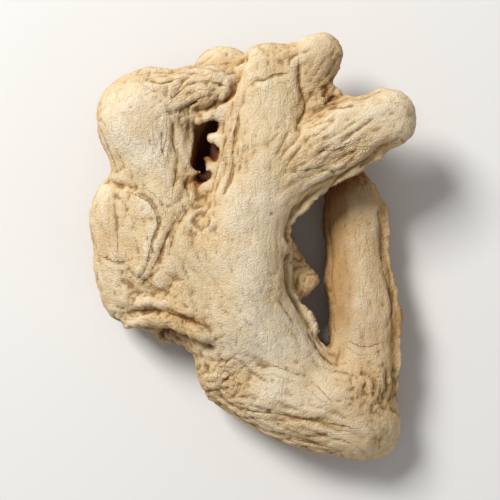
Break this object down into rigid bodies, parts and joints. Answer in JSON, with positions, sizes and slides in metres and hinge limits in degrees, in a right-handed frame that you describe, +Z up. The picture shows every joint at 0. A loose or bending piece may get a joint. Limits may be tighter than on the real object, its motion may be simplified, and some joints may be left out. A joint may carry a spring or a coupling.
{
  "type": "dried ginger root",
  "caption": "Dried ginger hand: a knobbly rhizome with a thick palm and stem, stubby fingers, a deep cleft and wrinkled cream-beige skin, lying flat on its side.",
  "frame": {"origin": "on the table, under the middle of the hand's outline", "axes": "+Z up from the table, +Y from the foot of the hand to its top (its longest way), +X towards the thumb and the arm"},
  "size_m": [0.0676, 0.0908, 0.0233],
  "materials": {
    "dried_skin": "matt, chalky cream to orange-beige dried skin with brown creases"
  },
  "bodies": {
    "root": {"ginger_root": "dried_skin"}
  },
  "joints": []
}
